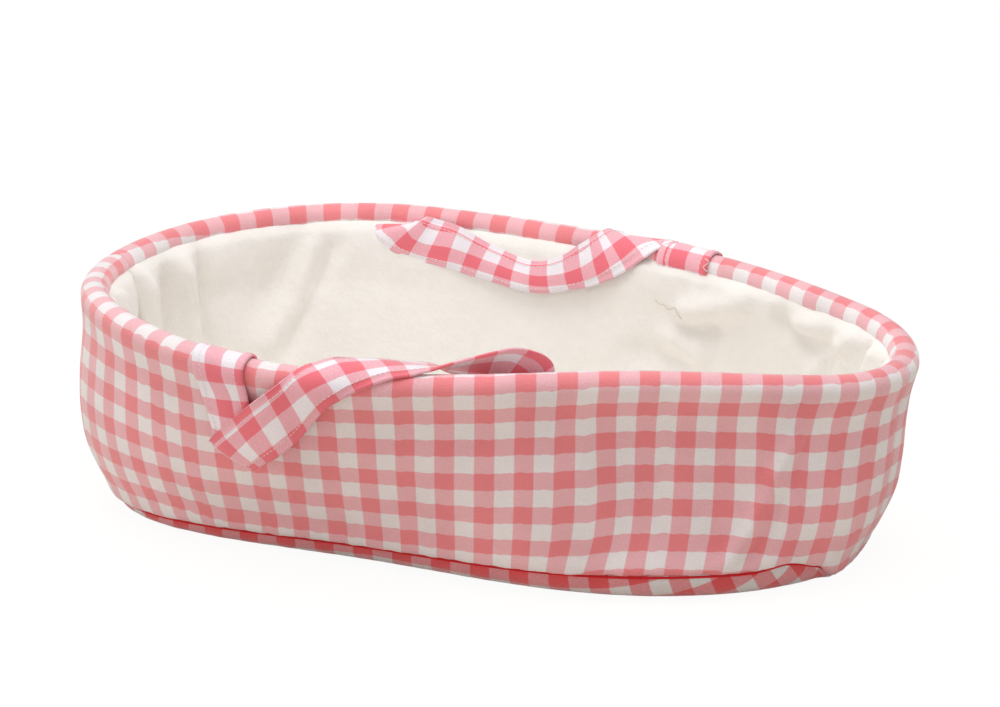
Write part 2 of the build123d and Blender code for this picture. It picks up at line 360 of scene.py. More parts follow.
def settle(piece):
    """Turns a piece and its modifiers into a plain mesh."""
    shape = piece.evaluated_get(bpy.context.evaluated_depsgraph_get())
    mesh = bpy.data.meshes.new_from_object(shape)
    piece.modifiers.clear()
    piece.data = mesh
    return piece


def thicken(piece, thickness, offset=-1.0):
    """Gives a sheet its thickness, inward unless the offset says otherwise."""
    solid = piece.modifiers.new("cloth", "SOLIDIFY")
    solid.thickness = thickness
    solid.offset = offset
    return settle(piece)


def normals_of(points):
    """Unit normals of a run grid."""
    normal = np.cross(np.gradient(points, axis=0), np.gradient(points, axis=1))
    return normal / (np.linalg.norm(normal, axis=2, keepdims=True) + 1e-9)


def outward_normals(points, around):
    """Unit normals of a grid that runs round the carrycot, away from its middle."""
    normal = normals_of(points)
    return normal if (normal * rim.outward(around)[:, None]).sum() > 0 else -normal


def creases(around, down, table):
    """Sum of soft grooves and ridges. Each is two ends on the cloth, a half width and a height."""
    total = np.zeros(np.broadcast(around, down).shape)
    for a0, d0, a1, d1, width, height in table:
        run = np.array([a1 - a0, d1 - d0], float)
        length = sqrt(run @ run)
        run /= length
        along = (around - a0) * run[0] + (down - d0) * run[1]
        aside = (around - a0) * -run[1] + (down - d0) * run[0]
        ends = smooth(-width, length * 0.25, along) * (1 - smooth(length * 0.75, length + width, along))
        total = total + height * ends * hump(aside, 0.0, width)
    return total


def fit(piece, material, nodes=(), body="root"):
    """Gives a piece its material, and lets it ride on a body and stand for CAD solids."""
    piece.data.materials.clear()
    piece.data.materials.append(material)
    if body:
        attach(piece, body)
    if nodes:
        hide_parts(*nodes)


def fit_sheet(piece, material, slot, node, flat, area=None, held="stretched", **settings):
    """Fits a sheet of cloth with its material, standing for its CAD solid."""
    fit(piece, material, [node])
    if area:
        settings["area"] = area * MM * MM


# ---- materials ----
MATH, VECTOR = "ShaderNodeMath", "ShaderNodeVectorMath"
RANGE, NOISE = "ShaderNodeMapRange", "ShaderNodeTexNoise"


def linear(code):
    """Linear colour of an sRGB hex value."""
    channels = [int(code[i:i + 2], 16) / 255 for i in (1, 3, 5)]
    return [c / 12.92 if c <= 0.04045 else ((c + 0.055) / 1.055) ** 2.4 for c in channels]


def add(tree, kind, values=None, **settings):
    """Adds a node. Its inputs, by name or number, take a value, an output or a node's first output."""
    node = tree.nodes.new(kind)
    for name, value in settings.items():
        setattr(node, name, value)
    for key, value in (values or {}).items():
        if isinstance(value, bpy.types.Node):
            value = value.outputs[0]
        if isinstance(value, bpy.types.NodeSocket):
            tree.links.new(value, node.inputs[key])
        else:
            node.inputs[key].default_value = value
    return node


def new_material(name):
    """A material with an empty node tree."""
    material = bpy.data.materials.new(name)
    material.use_nodes = True
    material.node_tree.nodes.clear()
    return material, material.node_tree


def shared(name, make, *values):
    """The material of that name, made when it is first asked for."""
    return bpy.data.materials.get(name) or make(name, *values)


def surface(tree, colour, rough, values, height=None, strength=0.0, depth=0.0):
    """Ends a material with its colour, its roughness and, in millimetres, the depth of its relief."""
    values = {"Base Color": colour, "Roughness": rough, **values}
    if height is not None:
        values["Normal"] = add(tree, "ShaderNodeBump", {"Height": height, "Strength": strength,
                                                        "Distance": depth * MM})
    add(tree, "ShaderNodeOutputMaterial", {0: add(tree, "ShaderNodeBsdfPrincipled", values)})


# Real threads lie 0.3 mm apart. Both the weave and its slanting flecks are drawn coarser, so that they show.
WEAVE, TWILL = 0.8 * MM, 1.1 * MM


def gingham(name, dark, middle, white, depth):
    """Yarn-dyed cotton. Coloured stripes run both ways, so that they cross into dark, middle and white
    checks; where only one way is coloured, its threads show as a fine slanting fleck."""
    # Waves to the metre: yarns drift over 11 mm, the dye is flecked at 0.9 mm, the cloth is crumpled at
    # 6 mm, and its colour comes and goes over 38 mm.
    material, tree = new_material(name)
    cloth = add(tree, "ShaderNodeUVMap", uv_map="cloth")
    place = add(tree, "ShaderNodeTexCoord").outputs["Object"]
    drift = add(tree, NOISE, {"Vector": cloth, "Scale": 90.0, "Detail": 1.0}, noise_dimensions="2D")
    shift = add(tree, VECTOR, {0: drift.outputs["Color"], 1: (0.5, 0.5, 0.5)}, operation="SUBTRACT")
    shift = add(tree, VECTOR, {0: shift, "Scale": 0.4 * MM}, operation="SCALE")
    moved = add(tree, VECTOR, {0: cloth, 1: shift}, operation="ADD")
    moved, still = [add(tree, "ShaderNodeSeparateXYZ", {0: vector}) for vector in (moved, cloth)]
    stripes, yarns = [], []
    for axis in range(2):
        count = add(tree, MATH, {0: moved.outputs[axis], 1: 2 * sizes().check}, operation="DIVIDE")
        count = add(tree, MATH, {0: count, 1: 0.25}, operation="ADD")
        wave = add(tree, MATH, {0: count, 1: 0.5}, operation="PINGPONG")
        stripes.append(add(tree, RANGE, {0: wave, 1: 0.265, 2: 0.235, 3: 0.0, 4: 1.0},
                           interpolation_type="SMOOTHSTEP"))
        turn = add(tree, MATH, {0: still.outputs[axis], 1: 2 * pi / WEAVE}, operation="MULTIPLY")
        yarns.append(add(tree, MATH, {0: turn}, operation="SINE"))
    both, weave = [add(tree, MATH, {0: one, 1: other}, operation="MULTIPLY")
                   for one, other in (stripes, yarns)]
    either = add(tree, MATH, {0: stripes[0], 1: stripes[1]}, operation="MAXIMUM")

    slant = add(tree, MATH, {0: still.outputs[0], 1: still.outputs[1]}, operation="ADD")
    slant = add(tree, MATH, {0: slant, 1: 2 * pi / TWILL}, operation="MULTIPLY")
    twill = add(tree, MATH, {0: slant}, operation="SINE")
    fleck = add(tree, NOISE, {"Vector": cloth, "Scale": 1100.0, "Detail": 2.0}, noise_dimensions="2D")
    fleck = add(tree, RANGE, {0: fleck, 1: 0.3, 2: 0.7, 3: -0.32, 4: 0.32})
    speck = add(tree, MATH, {0: twill, 1: 0.08, 2: fleck}, operation="MULTIPLY_ADD")
    one_way = add(tree, MATH, {0: either, 1: speck, 2: either}, operation="MULTIPLY_ADD")
    colour = (*white, 1.0)
    for share, tint in ((one_way, middle), (both, dark)):
        colour = add(tree, "ShaderNodeMix", {0: share, 6: colour, 7: (*tint, 1.0)},
                     data_type="RGBA").outputs[2]

    cast = add(tree, NOISE, {"Vector": place, "Scale": 26.0, "Detail": 3.0})
    cast = add(tree, RANGE, {0: cast, 1: 0.3, 2: 0.7, 3: 0.94, 4: 1.04})
    mottle = add(tree, RANGE, {0: fleck, 1: -0.32, 2: 0.32, 3: 0.965, 4: 1.035})
    shade = add(tree, MATH, {0: cast, 1: mottle}, operation="MULTIPLY")
    colour = add(tree, VECTOR, {0: colour, "Scale": shade}, operation="SCALE")
    crumple = add(tree, NOISE, {"Vector": place, "Scale": 160.0, "Detail": 4.0})
    height = add(tree, MATH, {0: crumple, 1: fleck}, operation="ADD")
    height = add(tree, MATH, {0: weave, 1: 0.06, 2: height}, operation="MULTIPLY_ADD")
    rough = add(tree, RANGE, {0: fleck, 1: -0.32, 2: 0.32, 3: 0.78, 4: 0.92})
    surface(tree, colour, rough, {"Specular IOR Level": 0.25, "Sheen Weight": 0.6, "Sheen Roughness": 0.5},
            height, 0.35, depth)
    return material


def fleece(name, colour):
    """Brushed polyester fleece: matt, finely matted pile that stands pale along soft edges."""
    # Waves to the metre: tufts of 1.1 mm, matted in clumps of 6 mm, on a ground that drifts over 45 mm.
    material, tree = new_material(name)
    place = add(tree, "ShaderNodeTexCoord").outputs["Object"]
    pile = add(tree, NOISE, {"Vector": place, "Scale": 900.0, "Detail": 3.0})
    clump = add(tree, NOISE, {"Vector": place, "Scale": 170.0, "Detail": 4.0, "Roughness": 0.6})
    drift = add(tree, NOISE, {"Vector": place, "Scale": 22.0, "Detail": 2.0})
    colour = colour[:]
    for waver, palest in ((clump, 1.012), (drift, 1.01)):
        tint = add(tree, RANGE, {0: waver, 1: 0.3, 2: 0.7, 3: 0.985, 4: palest})
        colour = add(tree, VECTOR, {0: colour, "Scale": tint}, operation="SCALE")
    height = add(tree, MATH, {0: pile, 1: 0.4, 2: clump}, operation="MULTIPLY_ADD")
    surface(tree, colour, 0.95, {"Specular IOR Level": 0.1, "Sheen Weight": 0.25, "Sheen Roughness": 0.6},
            height, 0.5, 1.2)
    return material


def fibre(name, colour, scale, depth, rough=0.9):
    """Wadding, sewing thread, board or the red cord of painted seam shade: one colour, broken up by fibres,
    so many to the metre.
    """
    material, tree = new_material(name)
    place = add(tree, "ShaderNodeTexCoord").outputs["Object"]
    strand = add(tree, NOISE, {"Vector": place, "Scale": scale, "Detail": 4.0})
    tint = add(tree, RANGE, {0: strand, 1: 0.3, 2: 0.7, 3: 0.9, 4: 1.05})
    colour = add(tree, VECTOR, {0: colour[:], "Scale": tint}, operation="SCALE")
    surface(tree, colour, rough, {}, strand, 0.4, depth)
    return material


def drawn_metal(name, colour, rough):
    """Drawn wire or pressed tube: bare steel whose scuffs, 2.5 mm apart, break up a soft shine."""
    material, tree = new_material(name)
    place = add(tree, "ShaderNodeTexCoord").outputs["Object"]
    scuff = add(tree, NOISE, {"Vector": place, "Scale": 400.0, "Detail": 3.0})
    worn = add(tree, RANGE, {0: scuff, 1: 0.3, 2: 0.7, 3: rough - 0.08, 4: rough + 0.1})
    surface(tree, (*colour, 1.0), worn, {"Metallic": 1.0})
    return material


def wall_cloth():
    """Light cotton poplin: pale checks with a faint sheen of fibres."""
    tint = colours()
    return shared("gingham_cotton", gingham, tint.dark, tint.middle, tint.white, 0.6)


def shaded_base_cloth():
    """The same gingham on the underside with painted shade: its checks are made darker and redder for the
    shade under the wall, where only light thrown back by the floor reaches.
    """
    tint = colours()
    return shared("gingham_base", gingham, tint.base_painted_shade_dark, tint.base_painted_shade_middle, tint.base_painted_shade_white, 0.6)


def strap_cloth():
    """The same gingham, pulled smoother and brighter over the two layers of a strap."""
    tint = colours()
    return shared("strap_gingham_cotton", gingham, tint.strap_dark, tint.strap_middle, tint.strap_white, 0.5)


def pile_cloth():
    """Ivory fleece, with no shine at all."""
    return shared("brushed_fleece", fleece, colours().fleece)


def thread_fibre():
    """Pale sewing cotton, a little smoother than the cloth it holds."""
    return shared("cotton_thread", fibre, colours().thread, 1500.0, 0.05, 0.8)


def wadding_fibre():
    """Loose white polyester, rough and cloudy."""
    return shared("polyester_wadding", fibre, linear("#F1F0EC"), 420.0, 0.6, 0.95)


# ---- settings ----
def length_setting(name, description, default):
    return FloatProperty(name=name, description=description, default=default * MM, min=0.0, unit="LENGTH",
                         precision=4)


def colour_setting(name, description, code):
    return FloatVectorProperty(name=name, description=description, default=linear(code), size=3,
                               subtype="COLOR", min=0.0, max=1.0)


class CarrycotSizes(bpy.types.PropertyGroup):
    check: length_setting("Check", "Side of one check of the gingham", 10.0)
    cloth: length_setting("Cloth", "Thickness of the gingham with its interlining", 0.9)
    fleece: length_setting("Fleece", "Thickness of the fleece", 1.4)
    strap: length_setting("Strap thickness", "Thickness of a handle strap, two layers of cloth", 1.3)
    hem: length_setting("Strap hem", "Width of the sewn-down edge of a handle strap", 4.5)
    pitch: length_setting("Stitch pitch", "Distance from one topstitch to the next", 2.6)
    stitch: length_setting("Stitch length", "Length of one topstitch", 2.0)
    thread: length_setting("Thread", "Thickness of the sewing thread", 0.4)


class CarrycotColours(bpy.types.PropertyGroup):
    dark: colour_setting("Dark check", "Where both coloured stripes cross", "#F78B90")
    middle: colour_setting("Middle check", "Where one stripe is coloured", "#F7B6BD")
    white: colour_setting("White check", "Where neither stripe is coloured", "#F8F0F0")
    # The base's three checks carry painted shade: the gingham's own colours made darker and redder for the
    # shade under the wall.
    base_painted_shade_dark: colour_setting("Base dark check", "Dark check of the base", "#E25457")
    base_painted_shade_middle: colour_setting("Base middle check", "Middle check of the base", "#E28A8F")
    base_painted_shade_white: colour_setting("Base white check", "White check of the base", "#E3DEDE")
    strap_dark: colour_setting("Strap dark check", "Dark check of the handle straps", "#F87885")
    strap_middle: colour_setting("Strap middle check", "Middle check of the handle straps", "#FAB0BC")
    strap_white: colour_setting("Strap white check", "White check of the handle straps", "#FCF4FA")
    fleece: colour_setting("Fleece", "Lining colour", "#FAF6F0")
    thread: colour_setting("Thread", "Topstitching colour", "#F4E6E2")


class CarrycotStage(bpy.types.PropertyGroup):
    azimuth: FloatProperty(name="Azimuth", description="How far the camera stands round towards the foot",
                           default=radians(16.0), subtype="ANGLE")
    elevation: FloatProperty(name="Elevation", description="How far the camera stands above the level",
                             default=radians(20.0), subtype="ANGLE")
    distance: FloatProperty(name="Distance", description="From the camera to the middle of the carrycot",
                            default=1.5, unit="LENGTH")
    lens: FloatProperty(name="Lens", description="Focal length in millimetres", default=102.9)


def sizes():
    return bpy.context.scene.carrycot_sizes


def colours():
    return bpy.context.scene.carrycot_colours


# ---- walls ----
ROLL_STEPS, WALL_STEPS = 16, 60
COLUMN_STEP = 2.0
TUCK, SEAM_TURN, SEAM_SWELL = 1.5, 5.5, 1.8      # in under the roll, in at the base seam, out above the seam

# Drag lines and dents of a wall: two ends, each along the rim and down from its crest, then half
# width and height.
NEAR_CREASES = (
    (472, 30, 456, 58, 3.5, -1.2), (456, 58, 437, 108, 3.5, -1.3), (463, 32, 447, 60, 4, 3.4),
    (447, 60, 428, 108, 4, 3.6),
    (2, 10, 6, 90, 6, 2.0), (30, 12, 26, 60, 7, -1.2), (60, 20, 52, 100, 9, 1.2),
    (498, 10, 502, 90, 6, -0.6), (510, 20, 508, 100, 6, 0.5),
)
FAR_CREASES = (
    (560, 20, 566, 100, 7, -1.5), (640, 30, 650, 110, 9, 1.5), (1000, 20, 990, 100, 8, -1.5),
    (1060, 15, 1064, 100, 6, -1.8), (540, 15, 545, 90, 6, 1.8),
)

# Where the print lies on the near wall: around the rim, how far its columns are dragged at
# the roll, half way down and at the seam, the end of its first row and the depth of a row.
NEAR_PRINT = (
    (0, -9, -6, -4, 15.0, 9.4), (80, -9, -5, -3, 15.2, 9.4), (110, -8, -3, 5, 15.8, 9.3),
    (150, -7, -1, 9, 16.2, 9.5), (195, -5, -2, 2, 14.3, 9.4), (240, -3.5, -2.5, -2.5, 12.6, 9.3),
    (320, -2.3, -2.3, -2.5, 10.1, 9.0), (360, -2, 1, 2.5, 8.6, 8.9), (400, -2, 0.5, 2, 7.5, 8.9),
    (440, -1.5, 2.5, 4, 6.3, 9.0), (470, -0.5, 6, 9, 5.5, 9.2), (495, 1.5, 6, 7, 5.0, 9.3),
    (525, 3, 3, 3.5, 4.5, 9.3),
)
# The same for the far wall: the drag of its columns, the end of its first row and the depth of a row.
FAR_PRINT = (
    (520, 8.2, 4.5, 9.3), (545, 6, 4.8, 9.4), (580, 3, 5.6, 9.7), (620, 1, 5.8, 10), (650, -1, 5.8, 10),
    (680, -2, 5.5, 10), (702, -1.4, 5.2, 10), (735, -0.4, -0.5, 10), (800, 1.5, -1, 10), (840, 2, 0, 10),
    (930, 4, 0, 10), (960, 4.5, -1, 10), (990, 5.5, -1.4, 10), (1020, 6.5, 1, 10), (1050, 7.5, 5, 10),
    (1090, 13, 8, 10),
)
PRINT_STRETCH = 0.9957            # rim length to a length of the print
NEAR_START, FAR_START = -194.3, 953.1


def near_print(around, down):
    top, middle, low, first, depth = read_table(NEAR_PRINT, around)
    upper, lower = np.clip((down - 15) / 40, -0.4, 1), np.clip((down - 55) / 45, 0, 1.3)
    drag = top + (middle - top) * upper + (low - middle) * lower
    return np.stack([NEAR_START + around[:, None] / PRINT_STRETCH + drag, (down - first) * 10 / depth], -1)


def far_print(around, down):
    drag, first, depth = read_table(FAR_PRINT, around)
    return np.stack([FAR_START - around[:, None] / PRINT_STRETCH + drag + 0 * down,
                     (down - first) * 10 / depth], -1)


def wall_section(around):
    """Gingham from its inner hem over the roll and down to the base seam, and its distance from the crest."""
    middle, out = rim.at(around), rim.outward(around)
    foot = seam.at(seam_distance(around))
    hang = eased(WALL_HANG, around / rim.length)
    lean, low_lean = np.radians(hang[:, 0:1]), np.radians(hang[:, 1:2])
    gather = waves(around, 5.0, 3)
    hem = HEM + 0.8 * gather
    rows = [middle - out * (ROLL - 1.6) - UP * (hem + 1.0), middle - out * (ROLL - 0.2) - UP * hem]
    for share in np.linspace(0, 1, ROLL_STEPS):
        angle = pi + share * (-lean - pi)
        swell = 1 + 0.035 * gather * hump(share, 0.0, 0.3)
        rows.append(middle + ROLL * swell * (np.cos(angle) * out + np.sin(angle) * UP))
    top = rows[-1]
    inward = (top - foot) * (1, 1, 0)
    inward /= np.maximum(np.linalg.norm(inward, axis=1), 0.1)[:, None]
    length = np.linalg.norm(foot - top, axis=1)[:, None]
    first = top - (np.sin(lean) * out + np.cos(lean) * UP) * length * hang[:, 2:3]
    last = foot + (np.sin(low_lean) * inward + np.cos(low_lean) * UP) * length * hang[:, 3:4]
    face = np.cos(lean) * out - np.sin(lean) * UP
    for share in np.linspace(0, 1, WALL_STEPS + 1)[1:]:
        tuck = TUCK * smooth(0.0, 0.16, share) * (1 - smooth(0.16, 0.5, share))
        swell = SEAM_SWELL * smooth(0.86, 0.96, share) - SEAM_TURN * smooth(0.97, 1.0, share)
        rest = 1 - share
        point = (rest ** 3 * top + 3 * rest ** 2 * share * first
                 + 3 * rest * share ** 2 * last + share ** 3 * foot)
        rows.append(point - face * tuck + out * swell - UP * 0.8 * smooth(0.9, 0.98, share))
    points = np.stack(rows, 1)
    along = run_lengths(points)
    return points, along - (along[:, 1:2] + HEM + ROLL * pi / 2)


def wall_relief(around, down, table, seed):
    """How far the cloth stands off its smooth shape."""
    a = np.repeat(around[:, None], down.shape[1], 1)
    above_seam = down[:, -1:] - down
    soft = 0.7 * ripple(a, down, 42.0, seed) + 0.25 * ripple(a, down, 15.0, seed + 1)
    soft = soft * smooth(10.0, 24.0, down) * smooth(0.0, 8.0, above_seam)
    pucker = 0.9 * waves(around, 6.5, seed + 2) * hump(above_seam, 0.0, 9.0) * smooth(0.0, 3.0, above_seam)
    tucks = 0.35 * waves(around, 9.0, seed + 3) * hump(down, 12.0, 6.0)
    return soft + pucker + tucks + creases(a, down, table)


def wall_panel(name, first, last, print_of, table, seed):
    """A wall's gingham, drawn in a little at both its upright seams."""
    around = np.linspace(first, last, int(ceil((last - first) / COLUMN_STEP)))
    points, down = wall_section(around)
    edge = np.minimum(around - first, last - around)[:, None]
    relief = wall_relief(around, down, table, seed) * smooth(0.0, 6.0, edge)
    relief = relief - 1.2 * hump(edge, 0.0, 2.0) * smooth(-4.0, 6.0, down)
    points = points + outward_normals(points, around) * relief[..., None]
    return thicken(grid(name, points, print_of(around, down)), sizes().cloth)


class CARRYCOT_OT_walls(bpy.types.Operator):
    """Sew the near and the far gingham wall, each in one piece with its half of the rim binding"""
    bl_idname = "carrycot.walls"
    bl_label = "Wall Panels"

    def execute(self, context):
        cloths = ((near_print, NEAR_CREASES, 11), (far_print, FAR_CREASES, 17))
        for (side, first, last), cloth in zip(PANELS, cloths):
            piece = wall_panel("wall_panel_" + side, first, last, *cloth)
            fit_sheet(piece, wall_cloth(), "wall_gingham", "outer_wall_" + side, (last - first, WALL_DROP))
        return {"FINISHED"}


# ---- fillings inside the walls ----
def crimp_sleeve(middle, length, radius):
    """A short tube pressed onto the wire, with two crimped waists."""
    along = np.linspace(-length / 2, length / 2, 25)
    size = radius * (1 - 0.18 * (hump(along, 4.0, 1.6) + hump(along, -4.0, 1.6)))
    size[[0, -1]] = radius * 0.45
    return rings(rim, middle + along, size, 16)


class CARRYCOT_OT_fillings(bpy.types.Operator):
    """Put in the spring wire hoop with its crimped sleeve, the roll filling and the wall wadding"""
    bl_idname = "carrycot.fillings"
    bl_label = "Wire and Wadding"

    def execute(self, context):
        wire = tube("hoop_wire", rim, 1.0, 3.0, 10)
        fit(wire, drawn_metal("spring_steel_wire", linear("#A7A9AC"), 0.32), ["rim_wire"])
        sleeve = grid("hoop_sleeve", crimp_sleeve(3.0, 22.0, 1.9))
        weld(sleeve)
        fit(sleeve, drawn_metal("pressed_steel_sleeve", linear("#B4A88E"), 0.38),
            ["rim_wire_sleeve"])
        filling = tube("roll_filling", rim, ROLL - 1.5, 4.0, 14)
        fit(filling, wadding_fibre(), ["rim_roll_padding"])
        for side, first, last in PANELS:
            around = np.linspace(first + 3, last - 3, int(ceil((last - first) / 5)))
            outer = wall_section(around)[0][:, ROLL_STEPS + 4:-3:2]
            sheet = grid("wall_wadding_sheet_" + side, outer - outward_normals(outer, around) * 2.2)
            sheet = thicken(sheet, 2.0 * MM, 0.0)
            fit(sheet, wadding_fibre(), ["wall_wadding_" + side])
        return {"FINISHED"}


# ---- base ----
BASE_STEPS = 16                   # rows from the seam down to the ground
GROUND = 1.0                      # the outer face of the base, above the ground
BASE_PRINT = 1.3                  # how far in the print's rows start; they bow a little with the near side


def base_section(around):
    """The base from its hem inside the wall, by the seam, down to where it meets the ground."""
    edge, out = seam.at(around), seam.outward(around)
    reach = eased(BASE_EASE, around / seam.length)[:, 2:3]
    pucker = 0.6 * waves(around, 6.5, 29)
    rows = [edge - out * 8.0]
    for angle in np.linspace(0, pi / 2, BASE_STEPS):
        swell = sin(2 * angle) * (1.4 + pucker * (1 - angle / 2))
        point = edge + out * (swell - reach * (1 - cos(angle)))
        point[:, 2] = GROUND + (edge[:, 2] - GROUND) * (1 - sin(angle))
        rows.append(point)
    return rows


def from_middle(middle, edge, shares):
    """Rows at shares of the way from a middle to an edge."""
    return [middle + (edge - middle) * share for share in shares]


def flat_pad(name, low, high, inset, soft):
    """A closed flat piece inside the base seam, between two heights, with its edges softened."""
    around = np.linspace(0, seam.length, 160, endpoint=False)
    rows = []
    for height, back in ((low, soft), (low + soft, 0.0), (high - soft, 0.0), (high, soft)):
        row = seam.at(around) - seam.outward(around) * (inset + back)
        row[:, 2] = height
        rows.append(row)
    below, above = [np.array([*BASE_CENTRE, height]) for height in (low, high)]
    rows = from_middle(below, rows[0], (0.0, 0.5)) + rows + from_middle(above, rows[-1], (0.5, 0.0))
    return grid(name, np.stack(rows, 1)[:, ::-1], closed=True)


class CARRYCOT_OT_base(bpy.types.Operator):
    """Sew the base cover and lay the board and wadding in it"""
    bl_idname = "carrycot.base"
    bl_label = "Base, Board and Wadding"

    def execute(self, context):
        around = np.linspace(0, seam.length, 480, endpoint=False)
        rows = base_section(around)
        rows += from_middle(rows[-1].mean(0), rows[-1], np.linspace(0.94, 0.0, 16))
        points, out = np.stack(rows, 1), seam.outward(around)[:, None]
        down = run_lengths(points)
        # The print lies flat under the base, from its first level row, and is turned up at the side.
        level = slice(BASE_STEPS + 1, BASE_STEPS + 2)
        uv = (points[:, level] + out * (down[:, level] - down)[..., None])[..., :2] + [1.5, 0.0]
        uv[..., 1] += BASE_PRINT + 0.05 * uv[..., 0] - 0.00026 * (uv[..., 0] - 42) ** 2
        # Its gingham carries painted shade: darker, redder checks for the shade under the wall.
        cover = thicken(grid("base_cover_cloth", points, uv, closed=True), sizes().cloth)
        fit_sheet(cover, shaded_base_cloth(), "wall_gingham", "base_cover", COVER_FLAT, COVER_AREA)
        # Red cord, half sunk in the seam: painted shade and painted red bounce light, the deep red line that
        # light thrown between the two cloths draws where they meet.
        cord = tube("base_seam_shade_cord", Line(points[::4, 1] + out[::4, 0] * 0.7 - UP * 0.4), 0.7, 2.0, 8)
        fit(cord, fibre("red_painted_seam_shade", linear("#D51B23"), 2400.0, 0.05))
        # Pressed grey pulp: dull and even, with short fibres.
        board = flat_pad("base_board_sheet", 2.4, 4.9, 13.0, 0.2)
        fit(board, fibre("grey_board", linear("#B9B0A2"), 260.0, 0.15, 0.8), ["base_board"])
        pad = flat_pad("base_wadding_pad", 5.2, 10.2, 9.0, 1.6)
        fit(pad, wadding_fibre(), ["base_wadding"])
        return {"FINISHED"}


# ---- lining ----
LINING_STEPS = 56
# Folds of the fleece, on the same plan as the wall's: along the rim and down from the hem.
LINING_FOLDS = (
    (22, 2, 26, 30, 4, 4.5), (34, 2, 38, 40, 5, -4.0), (1086, 4, 1094, 44, 3.5, -7.5),
    (1078, 4, 1082, 60, 5.5, 6.0), (1056, 8, 1062, 64, 6, -8.5), (1041, 0, 1047, 72, 5.5, 8.0),
    (1026, 3, 1034, 72, 4, -5.5), (1012, 2, 1018, 30, 7, 2.0),
    (948, 8, 1000, 52, 12, -4.5), (936, 12, 956, 47, 6, -4.0), (956, 47, 984, 76, 6, -4.0),
    (948, 8, 968, 43, 7, 3.0), (968, 43, 996, 72, 7, 3.0),
    (722, 27, 700, 20, 7, 5.5), (700, 20, 676, 9, 7, 5.0), (722, 36, 700, 33, 6, -4.5),
    (732, 42, 708, 48, 8, 4.5), (758, 56, 714, 53, 9, -4.5), (703, 29, 697, 33, 5, -2.5),
    (656, 14, 640, 24, 7, -6.5), (640, 24, 614, 15, 7, -6.5), (648, 15, 618, 10, 5, 3.4),
    (656, 8, 628, 4, 5, -2.0), (598, 6, 612, 18, 6, 4.0), (612, 16, 636, 42, 7, 5.5),
    (610, 20, 624, 32, 5, -5.0), (584, 4, 590, 26, 4, -4.0), (574, 4, 578, 24, 4, 4.0),
    (560, 4, 562, 30, 5, -4.0),
)


def lining_section(around):
    """Fleece from under the hem down to the floor, and its distance from the hem."""
    out, below = rim.outward(around), seam_distance(around)
    foot = seam.at(below) - seam.outward(below) * 10.0
    foot[:, 2] = 12.0
    top = rim.at(around) - out * (ROLL - 1.2) - UP * (HEM - 1.6)
    rows = []
    for share in np.linspace(0, 1, LINING_STEPS):
        puff = 4.4 * smooth(0.0, 0.045, share) * (1 - 0.75 * smooth(0.1, 0.35, share))
        puff += 1.5 * sin(pi * share)
        rows.append(top + (foot - top) * share - out * puff)
    points = np.stack(rows, 1)
    down = run_lengths(points)
    a = np.repeat(around[:, None] % rim.length, LINING_STEPS, 1)
    relief = (1.3 * ripple(a, down, 38.0, 43) + 0.5 * ripple(a, down, 14.0, 44)) * smooth(2.0, 14.0, down)
    relief = relief + 0.9 * waves(around, 7.0, 41) * hump(down, 5.0, 5.0)
    relief = relief + creases(a, down, LINING_FOLDS) * smooth(0.0, 8.0, down + 4)
    relief = relief * (1 - smooth(0.86, 1.0, down / down[:, -1:]))
    return points - out[:, None] * relief[..., None], down


class CARRYCOT_OT_lining(bpy.types.Operator):
    """Sew the fleece lining: two walls and a padded floor"""
    bl_idname = "carrycot.lining"
    bl_label = "Fleece Lining"

    def execute(self, context):
        for side, first, last in PANELS:
            around = np.linspace(first, last, int(ceil((last - first) / COLUMN_STEP)))
            points, down = lining_section(around)
            uv = np.stack([np.repeat(around[:, None], LINING_STEPS, 1), down], -1)
            piece = thicken(grid("lining_cloth_" + side, points[:, ::-1], uv[:, ::-1]), sizes().fleece)
            fit_sheet(piece, pile_cloth(), "fleece", "lining_wall_" + side, (last - first, LINING_DROP))
        edge = lining_section(np.linspace(0, rim.length, 360, endpoint=False))[0][:, -1]
        shares = np.concatenate([[1.02, 1.0, 0.985, 0.96], np.linspace(0.93, 0.0, 26)])
        points = np.stack(from_middle(edge.mean(0), edge, shares), 1)
        dents = 0.8 * ripple(points[..., 0], points[..., 1], 60.0, 51) * smooth(0.0, 0.2, 1 - shares)
        points[..., 2] += 2.6 * smooth(0.0, 0.12, 1 - shares) + dents - 1.6 * hump(shares, 1.0, 0.02)
        floor = thicken(grid("lining_floor_cloth", points, points[..., :2], closed=True), sizes().fleece)
        fit_sheet(floor, pile_cloth(), "fleece", "lining_floor", FLOOR_FLAT, FLOOR_AREA, "laid",
                  rests_on=["base_wadding_pad"])
        return {"FINISHED"}


